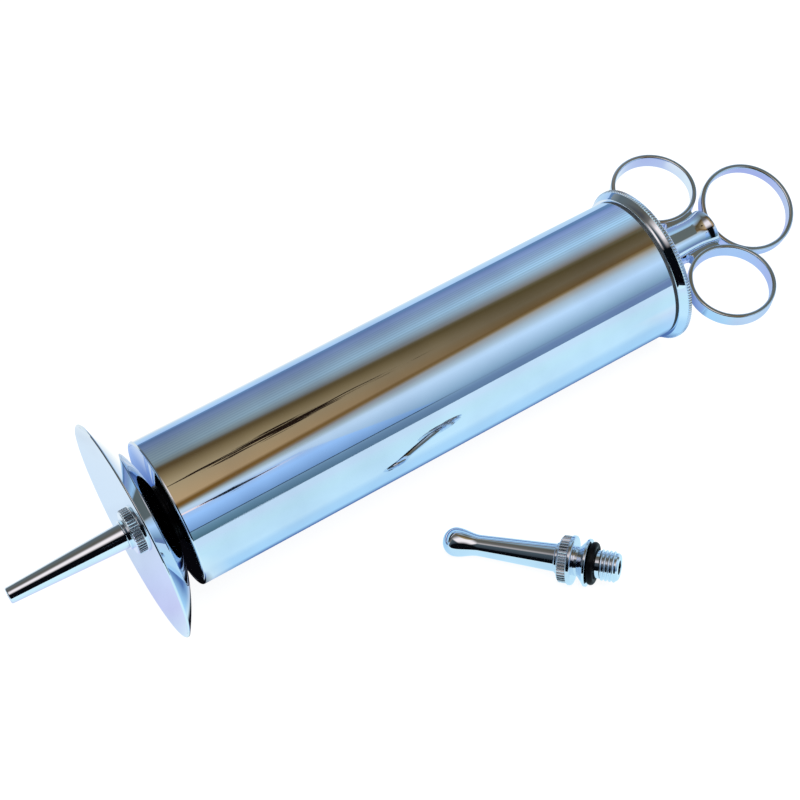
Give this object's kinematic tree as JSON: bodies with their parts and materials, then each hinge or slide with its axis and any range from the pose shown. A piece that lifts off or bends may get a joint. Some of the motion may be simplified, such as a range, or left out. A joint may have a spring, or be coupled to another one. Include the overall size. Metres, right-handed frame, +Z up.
{
  "type": "ear syringe",
  "caption": "Plated metal ear syringe with finger and thumb rings, a splash shield and a straight nozzle, and a spare olive-tipped nozzle beside it.",
  "frame": {"origin": "on the table, under the middle of the box round the syringe and its spare nozzle", "axes": "+X runs along the syringe from its nozzle to its thumb ring, +Y to its left finger ring, +Z up from the table"},
  "size_m": [0.2702, 0.1117, 0.0666],
  "materials": {
    "plated_metal": "mirror-polished plating over brass",
    "brass": "turned brass",
    "rubber": "black rubber, satin",
    "leather": "oiled leather"
  },
  "bodies": {
    "barrel": {"barrel_tube": "plated_metal", "front_plate": "plated_metal", "nozzle_socket": "brass"},
    "gasket": {"cap_gasket": "rubber"},
    "cap": {"screw_cap": "plated_metal", "guide_post": "plated_metal", "finger_ring_left": "plated_metal", "finger_ring_right": "plated_metal", "rod_packing": "leather", "packing_nut": "brass"},
    "piston": {"piston_front_plate": "brass", "piston_front_cup": "leather", "piston_spacer": "brass", "piston_rear_cup": "leather", "piston_rear_plate": "brass"},
    "plunger": {"plunger_rod": "plated_metal", "thumb_ring": "plated_metal", "piston_nut": "brass"},
    "shield": {"shield_washer": "rubber", "splash_shield": "plated_metal", "straight_nozzle_seal": "rubber"},
    "nozzle": {"straight_nozzle_base": "plated_metal", "straight_nozzle_tube": "plated_metal"},
    "spare_nozzle": {"olive_nozzle_base": "plated_metal", "olive_nozzle_tube": "plated_metal", "olive_nozzle_seal": "rubber"}
  },
  "joints": [
    {"name": "cap_travel", "type": "slide", "parent": "barrel", "child": "gasket", "axis": [0.9989, 0, -0.0472], "range_m": [0, 0.0088]},
    {"name": "cap_unscrew", "type": "hinge", "parent": "gasket", "child": "cap", "pos_m": [-0.08709, 0.02213, 0.03282], "axis": [0.9989, 0, -0.0472], "range_deg": [0, 2114]},
    {"name": "plunger_slide", "type": "slide", "parent": "cap", "child": "piston", "axis": [0.9989, 0, -0.0472], "range_m": [0, 0.1257]},
    {"name": "plunger_turn", "type": "hinge", "parent": "piston", "child": "plunger", "pos_m": [-0.08709, 0.02213, 0.03282], "axis": [0.9989, 0, -0.0472], "continuous": true},
    {"name": "nozzle_travel", "type": "slide", "parent": "barrel", "child": "shield", "axis": [-0.9989, 0, 0.0472], "range_m": [0, 0.0055]},
    {"name": "nozzle_unscrew", "type": "hinge", "parent": "shield", "child": "nozzle", "pos_m": [-0.08709, 0.02213, 0.03282], "axis": [-0.9989, 0, 0.0472], "range_deg": [0, 1723.7]},
    {"name": "spare_nozzle_lift", "type": "slide", "parent": "barrel", "child": "spare_nozzle", "axis": [0, 0, 1], "range_m": [0, 0.12]}
  ],
  "couplings": [
    {"joint": "cap_unscrew", "follows": "cap_travel", "rad_per_m": 4188.8},
    {"joint": "nozzle_unscrew", "follows": "nozzle_travel", "rad_per_m": 5463.6}
  ]
}
